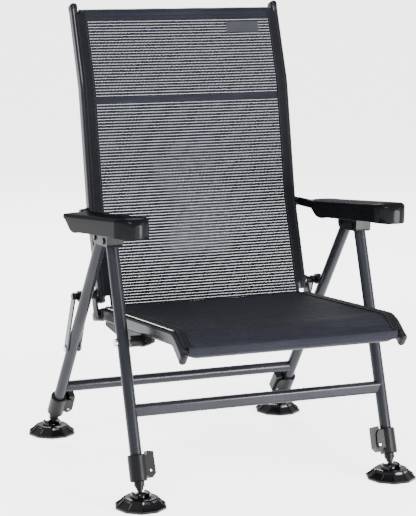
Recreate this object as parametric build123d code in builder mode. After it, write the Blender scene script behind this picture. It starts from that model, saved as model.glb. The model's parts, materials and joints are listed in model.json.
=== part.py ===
"""Reclining folding outdoor chair with adjustable legs.

Millimetres. +Z is up, -Y is the front of the chair, X runs across it.
The origin is on the ground, midway across the width and the depth.
"""

import os
from math import atan2, cos, degrees, radians, sin, tan

from build123d import *

os.makedirs("parts", exist_ok=True)

# ---- driving dimensions -------------------------------------------------------
depth_centre = 28.95  # the frame sits this far back, so the origin is midway along the depth
height_lift = 4.0  # the frame sits this far up, so that the feet have their full height

leg_x = 287.5  # centre of each leg, from the middle of the chair
leg_r = 12.5
leg_above_pin = 11.0
leg_bore_r = 11.2
inner_leg_r = 10.9
front_lean = 19.75  # degrees from upright
rear_lean = 35.1
ball_z = 21.0

frame_x = 243.0  # centre of the seat rails and the back tubes
oval_long = 29.0
oval_short = 15.0
oval_wall = 1.6
oval_outer_x = frame_x + oval_short / 2

fabric_half_width = 244.0
fabric_thickness = 2.0

armrest_inner_x = 254.0
armrest_outer_x = 328.0
armrest_wall = 3.2


def at(y, z):
    """(y, z) in the shared frame of a point drawn in the side view of the chair."""
    return y + depth_centre, z + height_lift


# ---- points of the linkage ------------------------------------------------------
front_top_pin = at(-104.6, 518.0)
rear_top_pin = at(-50.4, 518.0)
rack_pin = at(-60.0, 538.0)
seat_pivot = at(-174.0, 317.0)
back_hinge = at(95.0, 361.0)
link_rivet = at(149.9, 233.0)
armrest_pivot = at(152.0, 535.0)

sides = (("left", -1), ("right", 1))
leg_pairs = (
    ("front", front_top_pin, -front_lean),
    ("rear", rear_top_pin, rear_lean),
)


def save(builder, name):
    """Labels a finished piece and writes it as its own file."""
    builder.part.label = name
    export_step(builder.part, f"parts/{name}.step")


def side_plane(x, side=1):
    """Plane whose local x and y run along +Y and +Z, and whose normal is +X."""
    return Plane(origin=(side * x, 0, 0), x_dir=(0, 1, 0), z_dir=(1, 0, 0))


def slab(x_low, x_high, side):
    """Plane and depth for an extrusion between two distances from the middle."""
    return side_plane(x_low if side > 0 else x_high, side), x_high - x_low


def leg_plane(top, lean, side, distance):
    """Plane across a leg, this far down from its top pin, with its normal pointing down the leg."""
    y = top[0] + distance * sin(radians(lean))
    z = top[1] - distance * cos(radians(lean))
    down = (0, sin(radians(lean)), -cos(radians(lean)))
    return Plane(origin=(side * leg_x, y, z), x_dir=(-side, 0, 0), z_dir=down)


def leg_length(top, lean):
    """Distance from a leg's top pin to the middle of its foot's ball."""
    return (top[1] - ball_z) / cos(radians(lean))


def leg_point(top, lean, z):
    """(y, z) of the point of a leg's axis at this height."""
    return (top[0] + (top[1] - z) * tan(radians(lean)), z)


# ---- legs ---------------------------------------------------------------------
clamp_length = 55.0
clamp_above_ball = {"front": 31.5, "rear": 45.0}
clamp_r = 18.5
clamp_seat = 34.0  # how far the outer leg reaches into its clamp
crossbar_z = {"front": 187.0, "rear": 129.0}
pin_r = 4.0
pivot_gap = 0.05


def add_disc(point, radius, x_low, x_high, side, mode=Mode.ADD):
    """Adds a round disc, pin or hole along X to the piece being built."""
    middle_x = side * (x_low + x_high) / 2
    with Locations(Location((middle_x, *point), (0, 90, 0))):
        Cylinder(radius, x_high - x_low, mode=mode)


def cut_pin_hole(point, radius, x_low, x_high, side):
    """Cuts a round hole along X out of the piece being built."""
    add_disc(point, radius, x_low, x_high, side, mode=Mode.SUBTRACT)


for pair, top, lean in leg_pairs:
    clamp_end = leg_length(top, lean) - clamp_above_ball[pair]
    tube_end = clamp_end - clamp_length + clamp_seat
    for side_name, side in sides:
        with BuildPart() as leg:
            with BuildSketch(leg_plane(top, lean, side, -leg_above_pin)):
                Circle(leg_r)
            extrude(amount=tube_end + leg_above_pin)
            fillet(leg.edges().sort_by(Axis.Z)[-1], 5)
            with BuildSketch(leg_plane(top, lean, side, 8)):
                Circle(leg_bore_r)
            extrude(amount=tube_end, mode=Mode.SUBTRACT)
            top_gap = 0 if pair == "front" else pivot_gap
            middle_pin = seat_pivot if pair == "front" else link_rivet
            cut_pin_hole(top, pin_r + top_gap, leg_x - leg_r - 1, leg_x + leg_r + 1, side)
            cut_pin_hole(middle_pin, pin_r, leg_x - leg_r - 1, leg_x + leg_r + 1, side)
        save(leg, f"{pair}_leg_{side_name}")

for pair, top, lean in leg_pairs:
    centre = leg_point(top, lean, crossbar_z[pair])
    with BuildPart() as crossbar:
        with BuildSketch(side_plane(-leg_x)):
            with Locations(centre):
                if pair == "front":
                    RectangleRounded(20, 25, 6)
                    RectangleRounded(17, 22, 4.5, mode=Mode.SUBTRACT)
                else:
                    Ellipse(10.5, 12.5)
                    Ellipse(9, 11, mode=Mode.SUBTRACT)
        extrude(amount=2 * leg_x)
        for side_name, side in sides:
            with BuildSketch(leg_plane(top, lean, side, 200)):
                Circle(leg_r)
            extrude(amount=350, mode=Mode.SUBTRACT)
    save(crossbar, f"{pair}_crossbar")

# ---- leg clamps, their levers and pins ----------------------------------------
lever_pin_r = 2.5
lever_pin_u = 24.0  # from the leg's axis towards the middle of the chair
lever_pin_from_end = 20.0
lever_half_width = 9.5
lever_height = 41.0  # above its pin
ear_thickness = 3.5
ear_r = 6.5
ear_height = 32.0
flat_u = 14.6
lever_depth = 12.0  # from its pin towards the middle of the chair


def lever_pin_plane(across):
    """Plane through the middle of a lever's pin, with its normal along the pin and local y up the leg."""
    origin = across.from_local_coords((lever_pin_u, 0, 0))
    return Plane(origin=origin, x_dir=across.x_dir, z_dir=across.y_dir)


for pair, top, lean in leg_pairs:
    clamp_end = leg_length(top, lean) - clamp_above_ball[pair]
    clamp_start = clamp_end - clamp_length
    pin_at = clamp_end - lever_pin_from_end
    with BuildPart() as lever_pins:
        for side_name, side in sides:
            pin_plane = lever_pin_plane(leg_plane(top, lean, side, pin_at))
            with BuildSketch(pin_plane.offset(-lever_half_width - ear_thickness)):
                Circle(lever_pin_r)
            extrude(amount=2 * (lever_half_width + ear_thickness))
    save(lever_pins, f"{pair}_lever_pins")
    for side_name, side in sides:
        start_plane = leg_plane(top, lean, side, clamp_start)
        pin_plane = lever_pin_plane(leg_plane(top, lean, side, pin_at))
        with BuildPart() as clamp:
            with BuildSketch(start_plane):
                Circle(clamp_r)
            extrude(amount=clamp_length)
            chamfer(clamp.edges().group_by(SortBy.LENGTH)[-1], 2)
            with BuildSketch(start_plane):
                with Locations((flat_u + 10, 0)):
                    Rectangle(20, 2 * clamp_r)
            extrude(amount=clamp_length, mode=Mode.SUBTRACT)
            for turn in (-1, 1):
                ear_plane = pin_plane.offset(turn * (lever_half_width + ear_thickness / 2 + 0.4) - 2)
                with BuildSketch(ear_plane):
                    Circle(ear_r)
                    with BuildLine():
                        Polyline(
                            (-12, -ear_r),
                            (0, -ear_r),
                            (ear_r, 0),
                            (ear_r - 1, ear_height - 8),
                            (0, ear_height),
                            (-12, ear_height),
                            close=True,
                        )
                    make_face()
                extrude(amount=ear_thickness)
            with BuildSketch(start_plane):
                Circle(leg_r)
            extrude(amount=clamp_seat, mode=Mode.SUBTRACT)
            with BuildSketch(start_plane):
                Circle(leg_bore_r)
            extrude(amount=clamp_length, mode=Mode.SUBTRACT)
            with BuildSketch(pin_plane.offset(-clamp_r)):
                Circle(lever_pin_r)
            extrude(amount=2 * clamp_r, mode=Mode.SUBTRACT)
        save(clamp, f"{pair}_clamp_{side_name}")
        with BuildPart() as lever:
            with BuildSketch(pin_plane.offset(-lever_half_width)) as lever_side:
                with BuildLine():
                    Polyline(
                        (-8, -8),
                        (-8, 4),
                        (-3, lever_height),
                        (lever_depth - 1, lever_height - 2),
                        (lever_depth, -6),
                        (4, -15),
                        (-3, -15),
                        close=True,
                    )
                make_face()
                fillet(lever_side.vertices(), 1.5)
                Circle(lever_pin_r + pivot_gap, mode=Mode.SUBTRACT)
            extrude(amount=2 * lever_half_width)
        save(lever, f"{pair}_lever_{side_name}")

# ---- inner legs, swivel cups and feet ------------------------------------------
inner_leg_top = 185.0  # length of inner leg above the end of its clamp
inner_leg_wall = 1.4
tube_below_clamp = {"front": 10.0, "rear": 20.5}
plug_length = 12.0
neck_steps = ((8.5, 3.5), (7.0, 8.0))  # radius, and how far below the tube's end it reaches
neck_r = 5.0
ball_r = 7.5
cup_inner_r = 7.85
cup_r = 12.0
socket_r = 12.35
foot_r = 55.0
foot_sides = 10
foot_rim = 5.0
foot_dome_r = 36.0
foot_dome_top = 21.0
foot_collar_r = 20.5
foot_top = 32.0
foot_mouth_r = 13.2
foot_slot = 25.0  # width of the slot that lets the leg lean

for pair, top, lean in leg_pairs:
    ball_at = leg_length(top, lean)
    clamp_end = ball_at - clamp_above_ball[pair]
    tube_end = clamp_end + tube_below_clamp[pair]
    ball_y, ball_height = leg_point(top, lean, ball_z)
    for side_name, side in sides:
        ball_centre = (side * leg_x, ball_y, ball_height)
        with BuildPart() as inner_leg:
            with BuildSketch(leg_plane(top, lean, side, clamp_end - inner_leg_top)):
                Circle(inner_leg_r)
                Circle(inner_leg_r - inner_leg_wall, mode=Mode.SUBTRACT)
            extrude(amount=inner_leg_top + tube_below_clamp[pair] - plug_length)
            with BuildSketch(leg_plane(top, lean, side, tube_end - plug_length)):
                Circle(inner_leg_r)
            extrude(amount=plug_length)
            for radius, reach in neck_steps:
                with BuildSketch(leg_plane(top, lean, side, tube_end)):
                    Circle(radius)
                extrude(amount=reach)
            with BuildSketch(leg_plane(top, lean, side, tube_end)):
                Circle(neck_r)
            extrude(amount=ball_at - tube_end)
            with Locations(ball_centre):
                Sphere(ball_r)
        save(inner_leg, f"{pair}_inner_leg_{side_name}")
        with BuildPart() as cup:
            with Locations(ball_centre):
                Sphere(cup_r)
                Sphere(cup_inner_r, mode=Mode.SUBTRACT)
            with Locations(leg_plane(top, lean, side, ball_at - cup_r / 2)):
                Cone(neck_r + 4.4, neck_r + 0.6, cup_r + 2, mode=Mode.SUBTRACT)
        save(cup, f"{pair}_cup_{side_name}")
        with BuildPart() as foot:
            foot_middle = Plane(origin=(side * leg_x, ball_y, 0))
            for height, radius in ((0, foot_r), (foot_rim, foot_r)):
                with BuildSketch(foot_middle.offset(height)):
                    RegularPolygon(radius, foot_sides)
            loft()
            for height, radius in ((foot_rim, foot_r), (foot_dome_top, foot_dome_r)):
                with BuildSketch(foot_middle.offset(height)):
                    RegularPolygon(radius, foot_sides)
            loft()
            with Locations(foot_middle.offset((foot_top + foot_rim) / 2)):
                Cylinder(foot_collar_r, foot_top - foot_rim)
            chamfer(foot.edges().group_by(Axis.Z)[-1], 1.5)
            with Locations(ball_centre):
                Sphere(socket_r, mode=Mode.SUBTRACT)
            with Locations(foot_middle.offset((foot_top + ball_z) / 2)):
                Cone(socket_r, foot_mouth_r, foot_top - ball_z, mode=Mode.SUBTRACT)
            with Locations(foot_middle.offset(foot_top)):
                Box(foot_slot, 2 * foot_r, 2 * (foot_top - foot_dome_top), mode=Mode.SUBTRACT)
        save(foot, f"{pair}_foot_{side_name}")

# ---- leg heads and their pins ---------------------------------------------------
cheek_thickness = 4.7
cheek_inner_x = 270.0
cheek_outer_x = 305.0
head_front, head_bottom = at(-127.0, 508.0)
web_thickness = 4.5
boss_r = 13.5
head_pin_r = 4.0
rack_pin_r = 4.0

for side_name, side in sides:
    with BuildPart() as leg_head:
        plane, depth = slab(cheek_inner_x, cheek_outer_x, side)
        with BuildSketch(plane) as cheek:
            with BuildLine():
                Polyline(
                    (head_front, head_bottom),
                    (rear_top_pin[0], head_bottom - 3.5),
                    (rear_top_pin[0], rack_pin[1]),
                    (rack_pin[0], rack_pin[1] + 8),
                    (head_front, rack_pin[1]),
                    close=True,
                )
            make_face()
            fillet(cheek.vertices().group_by(Axis.X)[0], 6)
            with Locations(rear_top_pin):
                Circle(boss_r)
            with Locations(rack_pin):
                Circle(8)
        extrude(amount=depth)
        plane, depth = slab(cheek_inner_x + cheek_thickness, cheek_outer_x - cheek_thickness, side)
        with BuildSketch(plane):
            with Locations((head_front + web_thickness, rear_top_pin[1])):
                Rectangle(200, 80, align=(Align.MIN, Align.CENTER))
        extrude(amount=depth, mode=Mode.SUBTRACT)
        for point, radius in ((front_top_pin, head_pin_r), (rear_top_pin, head_pin_r), (rack_pin, rack_pin_r)):
            cut_pin_hole(point, radius, cheek_inner_x - 1, cheek_outer_x + 1, side)
    save(leg_head, f"leg_head_{side_name}")

with BuildPart() as leg_pins:
    for side_name, side in sides:
        for point in (front_top_pin, rear_top_pin):
            add_disc(point, head_pin_r, cheek_inner_x - 3, cheek_outer_x + 3, side)
            add_disc(point, head_pin_r + 3, cheek_inner_x - 3, cheek_inner_x, side)
            add_disc(point, head_pin_r + 3, cheek_outer_x, cheek_outer_x + 3, side)
save(leg_pins, "leg_pins")

with BuildPart() as rack_pins:
    for side_name, side in sides:
        add_disc(rack_pin, rack_pin_r, 259.5, 322.5, side)
save(rack_pins, "rack_pins")

# ---- seat pivot: bolts on the front legs ----------------------------------------
bracket_half_plate = 3.0
bracket_inner_x = frame_x - bracket_half_plate
pivot_boss_x = 272.0
with BuildPart() as pivot_bolts:
    for side_name, side in sides:
        add_disc(seat_pivot, pin_r, bracket_inner_x + 1, leg_x + leg_r + 4, side)
        add_disc(seat_pivot, 8, leg_x + leg_r + 0.5, leg_x + leg_r + 5, side)
save(pivot_bolts, "seat_pivot_bolts")

# ---- rear links ------------------------------------------------------------------
link_bar_thickness = 3.5
link_bar_width = 19.0
link_inner_x = 270.7
link_outer_x = 300.8
knuckle_r = 12.0
knuckle_half_width = 6.0
knuckle_boss_r = 8.0

with BuildPart() as link_bars:
    for side_name, side in sides:
        for x_low in (link_inner_x, link_outer_x):
            plane, depth = slab(x_low, x_low + link_bar_thickness, side)
            middle = ((link_rivet[0] + back_hinge[0]) / 2, (link_rivet[1] + back_hinge[1]) / 2)
            run = (back_hinge[0] - link_rivet[0], back_hinge[1] - link_rivet[1])
            span = (run[0] ** 2 + run[1] ** 2) ** 0.5
            with BuildSketch(plane):
                with Locations(Location((*middle, 0), (0, 0, degrees(atan2(run[1], run[0]))))):
                    SlotCenterToCenter(span, link_bar_width)
                with Locations(link_rivet):
                    Circle(pin_r + pivot_gap, mode=Mode.SUBTRACT)
                with Locations(back_hinge):
                    Circle(pin_r, mode=Mode.SUBTRACT)
            extrude(amount=depth)
save(link_bars, "rear_link_bars")

bracket_outer_x = 258.0
with BuildPart() as link_knuckles:
    for side_name, side in sides:
        add_disc(back_hinge, pin_r, bracket_outer_x + 1.5, link_outer_x + link_bar_thickness + 3, side)
        add_disc(back_hinge, knuckle_r, leg_x - knuckle_half_width, leg_x + knuckle_half_width, side)
        add_disc(back_hinge, knuckle_boss_r, link_inner_x + link_bar_thickness, link_outer_x, side)
        add_disc(back_hinge, knuckle_boss_r, bracket_outer_x + 1.5, link_inner_x, side)
        add_disc(
            back_hinge,
            7,
            link_outer_x + link_bar_thickness,
            link_outer_x + link_bar_thickness + 3,
            side,
        )
save(link_knuckles, "link_knuckles")

with BuildPart() as rivets:
    for side_name, side in sides:
        add_disc(link_rivet, pin_r, link_inner_x - 3, link_outer_x + link_bar_thickness + 3, side)
        add_disc(link_rivet, 7, link_inner_x - 3, link_inner_x - 0.3, side)
        add_disc(
            link_rivet,
            7,
            link_outer_x + link_bar_thickness + 0.3,
            link_outer_x + link_bar_thickness + 3,
            side,
        )
save(rivets, "link_rivets")

# ---- oval tubes: seat rails and back tubes ---------------------------------------
groove_width = 2.4
groove_depth = 0.9
cap_growth = 1.2


def rail_points():
    """Centre line of a seat rail from its rear end to its front end, as (y, z)."""
    return [at(60.0, 324.0), at(-357.5, 360.0), at(-398.5, 331.2)]


def back_points():
    """Centre line of a back tube from its lower end to its upper end, as (y, z)."""
    return [at(84.0, 345.0), at(154.0, 545.0), at(208.0, 805.0), at(272.0, 971.0)]


def unit(start, end):
    """Direction from one (y, z) point to another."""
    run, rise = end[0] - start[0], end[1] - start[1]
    length = (run**2 + rise**2) ** 0.5
    return run / length, rise / length


def shifted(points, distance):
    """The same polyline moved sideways, to the left of its own direction for a positive distance."""
    directions = [unit(a, b) for a, b in zip(points, points[1:])]
    directions = [directions[0], *directions, directions[-1]]
    moved = []
    for (y, z), before, after in zip(points, directions, directions[1:]):
        normal = (-before[1] - after[1], before[0] + after[0])
        scale = 2 * distance / (normal[0] ** 2 + normal[1] ** 2)
        moved.append((y + normal[0] * scale, z + normal[1] * scale))
    return moved


def oval_tube(points, bend, side, turn):
    """A hollow oval tube along a bent line, with a groove along its outer corner on the fabric's side."""
    with BuildPart() as tube:
        with BuildLine(side_plane(frame_x, side)):
            centre_line = FilletPolyline(*points, radius=bend)
        start = Plane(origin=centre_line @ 0, x_dir=(side, 0, 0), z_dir=centre_line % 0)
        with BuildSketch(start):
            SlotOverall(oval_long, oval_short, rotation=90)
            SlotOverall(oval_long - 2 * oval_wall, oval_short - 2 * oval_wall, rotation=90, mode=Mode.SUBTRACT)
            corner = oval_short / 2 * sin(radians(45))
            groove_y = (oval_long - oval_short) / 2 + corner
            with Locations(Location((corner, side * turn * groove_y, 0), (0, 0, side * turn * 45))):
                Rectangle(2 * groove_depth, groove_width, mode=Mode.SUBTRACT)
        sweep()
    return tube


def tube_end_plane(points, end, side):
    """Plane across a tube's first (end 0) or last (end -1) point, with its normal pointing out of the tube."""
    inner = points[1] if end == 0 else points[-2]
    out = unit(inner, points[end])
    return Plane(origin=(side * frame_x, *points[end]), x_dir=(side, 0, 0), z_dir=(0, *out))


def end_cap(plane, length):
    """Adds a rounded cap that closes an oval tube."""
    with Locations(plane):
        add(cap_solid(length))


def cap_solid(length):
    """A rounded oval cap of this length, standing on its local XY plane."""
    with BuildPart() as cap:
        with BuildSketch():
            SlotOverall(oval_long + cap_growth, oval_short + cap_growth, rotation=90)
        extrude(amount=length)
        fillet(cap.faces().sort_by(Axis.Z)[-1].edges(), min(length, oval_short / 2) - 0.8)
    return cap.part


rail_bend = 45.0
back_bend = 120.0
front_cap_length = 9.0
top_cap_length = 14.0
for side_name, side in sides:
    save(oval_tube(rail_points(), rail_bend, side, 1), f"seat_rail_{side_name}")
    back_tube = oval_tube(back_points(), back_bend, side, -1)
    with back_tube:
        cut_pin_hole(back_hinge, pin_r + pivot_gap, frame_x - 9, frame_x + 9, side)
        cut_pin_hole(armrest_pivot, 5 + pivot_gap, frame_x, frame_x + 9, side)
    save(back_tube, f"back_tube_{side_name}")

with BuildPart() as front_caps:
    for side_name, side in sides:
        end_cap(tube_end_plane(rail_points(), -1, side), front_cap_length)
save(front_caps, "seat_front_caps")

with BuildPart() as top_caps:
    for side_name, side in sides:
        end_cap(tube_end_plane(back_points(), -1, side), top_cap_length)
save(top_caps, "back_top_caps")

# ---- cross tubes of the seat and the back -----------------------------------------
front_bar_r = 10.0
top_bar_r = 11.0
front_bar_bend = 24.0
front_bar_drop = 10.0
front_bar_straight_x = 212.0
front_bar_inset = 14.0  # back and up from the rails' front ends
front_bar_bow = 4.0
top_bar_inset = 14.0  # down from the back tubes' upper ends
rail_inner_x = frame_x - oval_short / 2

rail_front = rail_points()[-1]
with BuildPart() as front_bar:
    bar_y = rail_front[0] + front_bar_inset
    bar_z = rail_front[1] + front_bar_inset
    with BuildLine():
        bar_line = FilletPolyline(
            (-frame_x, bar_y, bar_z),
            (-front_bar_straight_x, bar_y - front_bar_bow, bar_z - front_bar_drop),
            (front_bar_straight_x, bar_y - front_bar_bow, bar_z - front_bar_drop),
            (frame_x, bar_y, bar_z),
            radius=front_bar_bend,
        )
    with BuildSketch(Plane(origin=bar_line @ 0, z_dir=bar_line % 0)):
        Circle(front_bar_r)
        Circle(front_bar_r - oval_wall, mode=Mode.SUBTRACT)
    sweep()
    for side in (-1, 1):
        plane, depth = slab(rail_inner_x, frame_x + 30, side)
        with BuildSketch(plane):
            with Locations((bar_y, bar_z)):
                Rectangle(90, 90)
        extrude(amount=depth, mode=Mode.SUBTRACT)
save(front_bar, "seat_front_bar")

top_out = unit(back_points()[-2], back_points()[-1])
top_bar_centre = (
    back_points()[-1][0] - top_bar_inset * top_out[0],
    back_points()[-1][1] - top_bar_inset * top_out[1],
)
with BuildPart() as top_bar:
    with BuildSketch(side_plane(-rail_inner_x)):
        with Locations(top_bar_centre):
            Circle(top_bar_r)
            Circle(top_bar_r - oval_wall, mode=Mode.SUBTRACT)
    extrude(amount=2 * rail_inner_x)
save(top_bar, "back_top_bar")

# ---- soft panels: plain slabs over the tubes -----------------------------------------
fabric_gap = 0.3


def panel(points, distance):
    """A thin panel along a bent line, moved off the tubes' centre line by this distance."""
    near = shifted(points, distance)
    far = shifted(points, distance + (fabric_thickness if distance > 0 else -fabric_thickness))
    with BuildPart() as sheet:
        with BuildSketch(side_plane(-fabric_half_width)):
            with BuildLine():
                Polyline(*near, *reversed(far), close=True)
            make_face()
        extrude(amount=2 * fabric_half_width)
    return sheet


off_tube = oval_long / 2 + fabric_gap
back_panel_from_end = 12.0
back_line = back_points()
lower_out = unit(back_line[0], back_line[1])
back_panel_start = (
    back_line[0][0] + back_panel_from_end * lower_out[0],
    back_line[0][1] + back_panel_from_end * lower_out[1],
)
back_panel_line = [back_panel_start, *back_line[1:]]
save(panel(rail_points(), -off_tube), "seat_fabric")
save(panel(back_panel_line, off_tube), "back_fabric")

# ---- rear ends of the rails, hinge plates -----------------------------------------
plate_inner_x = oval_outer_x + 0.3
plate_outer_x = plate_inner_x + 2.4
ear_inner_x = plate_outer_x + 0.3
rear_cap_half = oval_short / 2 + cap_growth / 2
hinge_plate_r = 14.0

for side_name, side in sides:
    with BuildPart() as rear_bracket:
        plane, depth = slab(frame_x - rear_cap_half, frame_x + rear_cap_half, side)
        with BuildSketch(plane) as cap_side:
            with BuildLine():
                Polyline(
                    at(61.6, 338.4),
                    at(84, 331),
                    at(108, 324),
                    at(120, 315),
                    at(121, 304),
                    at(114, 298),
                    at(59.1, 309.4),
                    close=True,
                )
            make_face()
            fillet(cap_side.vertices().sort_by(Axis.X)[2:], 4)
        extrude(amount=depth)
        chamfer(rear_bracket.edges().filter_by(GeomType.LINE).filter_by(Axis.X, reverse=True), 1.2)
        plane, depth = slab(ear_inner_x, bracket_outer_x, side)
        with BuildSketch(plane):
            with BuildLine():
                Polyline(
                    at(63, 321),
                    at(68, 312),
                    at(90, 312),
                    (back_hinge[0] + 10, back_hinge[1] - 5),
                    (back_hinge[0] - 10, back_hinge[1] + 4),
                    close=True,
                )
            make_face()
            with Locations(back_hinge):
                Circle(11)
        extrude(amount=depth)
        plane, depth = slab(frame_x + rear_cap_half - 1, ear_inner_x, side)
        with BuildSketch(plane):
            with Locations(at(79, 319)):
                Rectangle(18, 12)
        extrude(amount=depth)
        cut_pin_hole(back_hinge, pin_r + pivot_gap, ear_inner_x - 1, bracket_outer_x + 1, side)
    save(rear_bracket, f"rear_bracket_{side_name}")

with BuildPart() as hinge_plates:
    for side_name, side in sides:
        add_disc(back_hinge, hinge_plate_r, plate_inner_x, plate_outer_x, side)
        add_disc(back_hinge, pin_r, rail_inner_x - 2.5, bracket_outer_x + 0.4, side)
        add_disc(back_hinge, 7, rail_inner_x - 4.5, rail_inner_x - 0.4, side)
save(hinge_plates, "back_hinge_plates")

# ---- brackets under the rails, on the front legs' pivot bolts ---------------------------
boss_outer_r = 12.0
under_rail = shifted(rail_points(), oval_long / 2 + pivot_gap)
rail_slope = (under_rail[0][1] - under_rail[1][1]) / (under_rail[0][0] - under_rail[1][0])


def below_rail(y):
    """The point of the rail's underside at this distance back."""
    return y, under_rail[0][1] + (y - under_rail[0][0]) * rail_slope


for side_name, side in sides:
    with BuildPart() as seat_bracket:
        plane, depth = slab(bracket_inner_x, frame_x + bracket_half_plate, side)
        with BuildSketch(plane):
            with BuildLine():
                Polyline(
                    below_rail(at(48, 0)[0]),
                    at(48, 302),
                    at(-11, 297),
                    at(-95, 292),
                    at(-174, 303),
                    at(-212, 316),
                    at(-238, 327),
                    below_rail(at(-238, 0)[0]),
                    close=True,
                )
            make_face()
            with Locations(at(-200, 320)):
                Circle(5, mode=Mode.SUBTRACT)
        extrude(amount=depth)
        add_disc(seat_pivot, boss_outer_r, bracket_inner_x, pivot_boss_x, side)
        cut_pin_hole(seat_pivot, pin_r + pivot_gap, bracket_inner_x - 1, pivot_boss_x + 1, side)
    save(seat_bracket, f"seat_bracket_{side_name}")

# ---- armrest pivots, knuckles, shells and racks -----------------------------------------
stub_r = 5.0
knuckle_inner_x = 254.3
knuckle_outer_x = 258.0
lug_inner_x = 258.3
lug_outer_x = 266.0
top_slope = 7.1

armrest_rear = at(96.0, 546.0)


def armrest_top(y, drop=0.0):
    """A point of the armrest's top line, lowered by a distance measured across it."""
    height = armrest_rear[1] + (armrest_rear[0] - y) * tan(radians(top_slope))
    return y, height - drop / cos(radians(top_slope))


nose_top = armrest_top(at(-226, 0)[0])
nose_shoulder = armrest_top(at(-256, 0)[0], 2)
hollow_rear = armrest_top(at(66, 0)[0], armrest_wall)
hollow_front = armrest_top(at(-249, 0)[0], armrest_wall)


for side_name, side in sides:
    with BuildPart() as pivot:
        add_disc(armrest_pivot, stub_r, frame_x + 1, lug_outer_x + 3, side)
        add_disc(armrest_pivot, 11, oval_outer_x + 0.3, knuckle_inner_x - 0.3, side)
        add_disc(armrest_pivot, 8, lug_outer_x + 0.3, lug_outer_x + 3, side)
    save(pivot, f"armrest_pivot_{side_name}")
    with BuildPart() as knuckle:
        add_disc(armrest_pivot, 10, knuckle_inner_x, knuckle_outer_x, side)
        cut_pin_hole(armrest_pivot, stub_r + pivot_gap, knuckle_inner_x, knuckle_outer_x, side)
    save(knuckle, f"armrest_knuckle_{side_name}")

    with BuildPart() as armrest:
        plane, depth = slab(armrest_inner_x, armrest_outer_x, side)
        with BuildSketch(plane):
            with BuildLine():
                Polyline(
                    armrest_rear,
                    nose_top,
                    nose_shoulder,
                    at(-271, 579),
                    at(-273, 567),
                    at(-258, 552),
                    at(-211, 548),
                    at(-116, 534),
                    at(-8, 521),
                    at(14, 516),
                    at(41, 515),
                    at(74, 534),
                    at(94, 539),
                    close=True,
                )
            make_face()
        extrude(amount=depth)
        fillet(armrest.faces().sort_by(SortBy.AREA)[-1].edges().group_by(SortBy.LENGTH)[-1], 8)
        plane, depth = slab(armrest_inner_x + armrest_wall, armrest_outer_x - armrest_wall, side)
        with BuildSketch(plane):
            with BuildLine():
                Polyline(
                    hollow_rear,
                    hollow_front,
                    at(-268, 572),
                    at(-268, 500),
                    at(66, 500),
                    close=True,
                )
            make_face()
        extrude(amount=depth, mode=Mode.SUBTRACT)
        plane, depth = slab(lug_inner_x, lug_outer_x, side)
        with BuildSketch(plane):
            with BuildLine():
                Polyline(
                    at(62, 530),
                    (armrest_pivot[0], armrest_pivot[1] - 8),
                    (armrest_pivot[0], armrest_pivot[1] + 8),
                    at(66, 547),
                    close=True,
                )
            make_face()
            with Locations(armrest_pivot):
                Circle(9)
        extrude(amount=depth)
        cut_pin_hole(armrest_pivot, stub_r + pivot_gap, lug_inner_x - 1, lug_outer_x + 1, side)
    save(armrest, f"armrest_{side_name}")

rack_step = 34.0
rack_steps = 4
notch_r = 6.0
tooth_gap = 8.5  # from the pin's centre line up to the tips of the teeth
rack_width = 6.5
rack_rear = 14.0
rack_front = 130.0
along = (-cos(radians(top_slope)), sin(radians(top_slope)))
upward = (sin(radians(top_slope)), cos(radians(top_slope)))


def rack_point(distance, height):
    """(y, z) of a point this far along the line of the rack pin and this far above it."""
    return (
        rack_pin[0] + distance * along[0] + height * upward[0],
        rack_pin[1] + distance * along[1] + height * upward[1],
    )


roof_height = armrest_top(rack_pin[0], armrest_wall)[1] - rack_pin[1]
rack_top = roof_height * cos(radians(top_slope))
wall_inner = armrest_inner_x + armrest_wall
wall_outer = armrest_outer_x - armrest_wall
for side_name, side in sides:
    with BuildPart() as rack:
        for x_low in (wall_inner, wall_outer - rack_width):
            plane, depth = slab(x_low, x_low + rack_width, side)
            with BuildSketch(plane):
                with BuildLine():
                    Polyline(
                        rack_point(-rack_rear, tooth_gap),
                        rack_point(-rack_rear, rack_top),
                        rack_point(rack_front, rack_top),
                        rack_point(rack_front, tooth_gap),
                        close=True,
                    )
                make_face()
                for step in range(rack_steps):
                    with Locations(rack_point(step * rack_step, tooth_gap)):
                        Circle(notch_r, mode=Mode.SUBTRACT)
            extrude(amount=depth)
    save(rack, f"armrest_rack_{side_name}")
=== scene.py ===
"""Looks of the reclining folding chair: woven panels, armrests, feet and finishes.

All lengths are in metres, in the frame of the CAD model, which stands on z = 0 and faces -y.
"""

import json
import math

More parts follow.
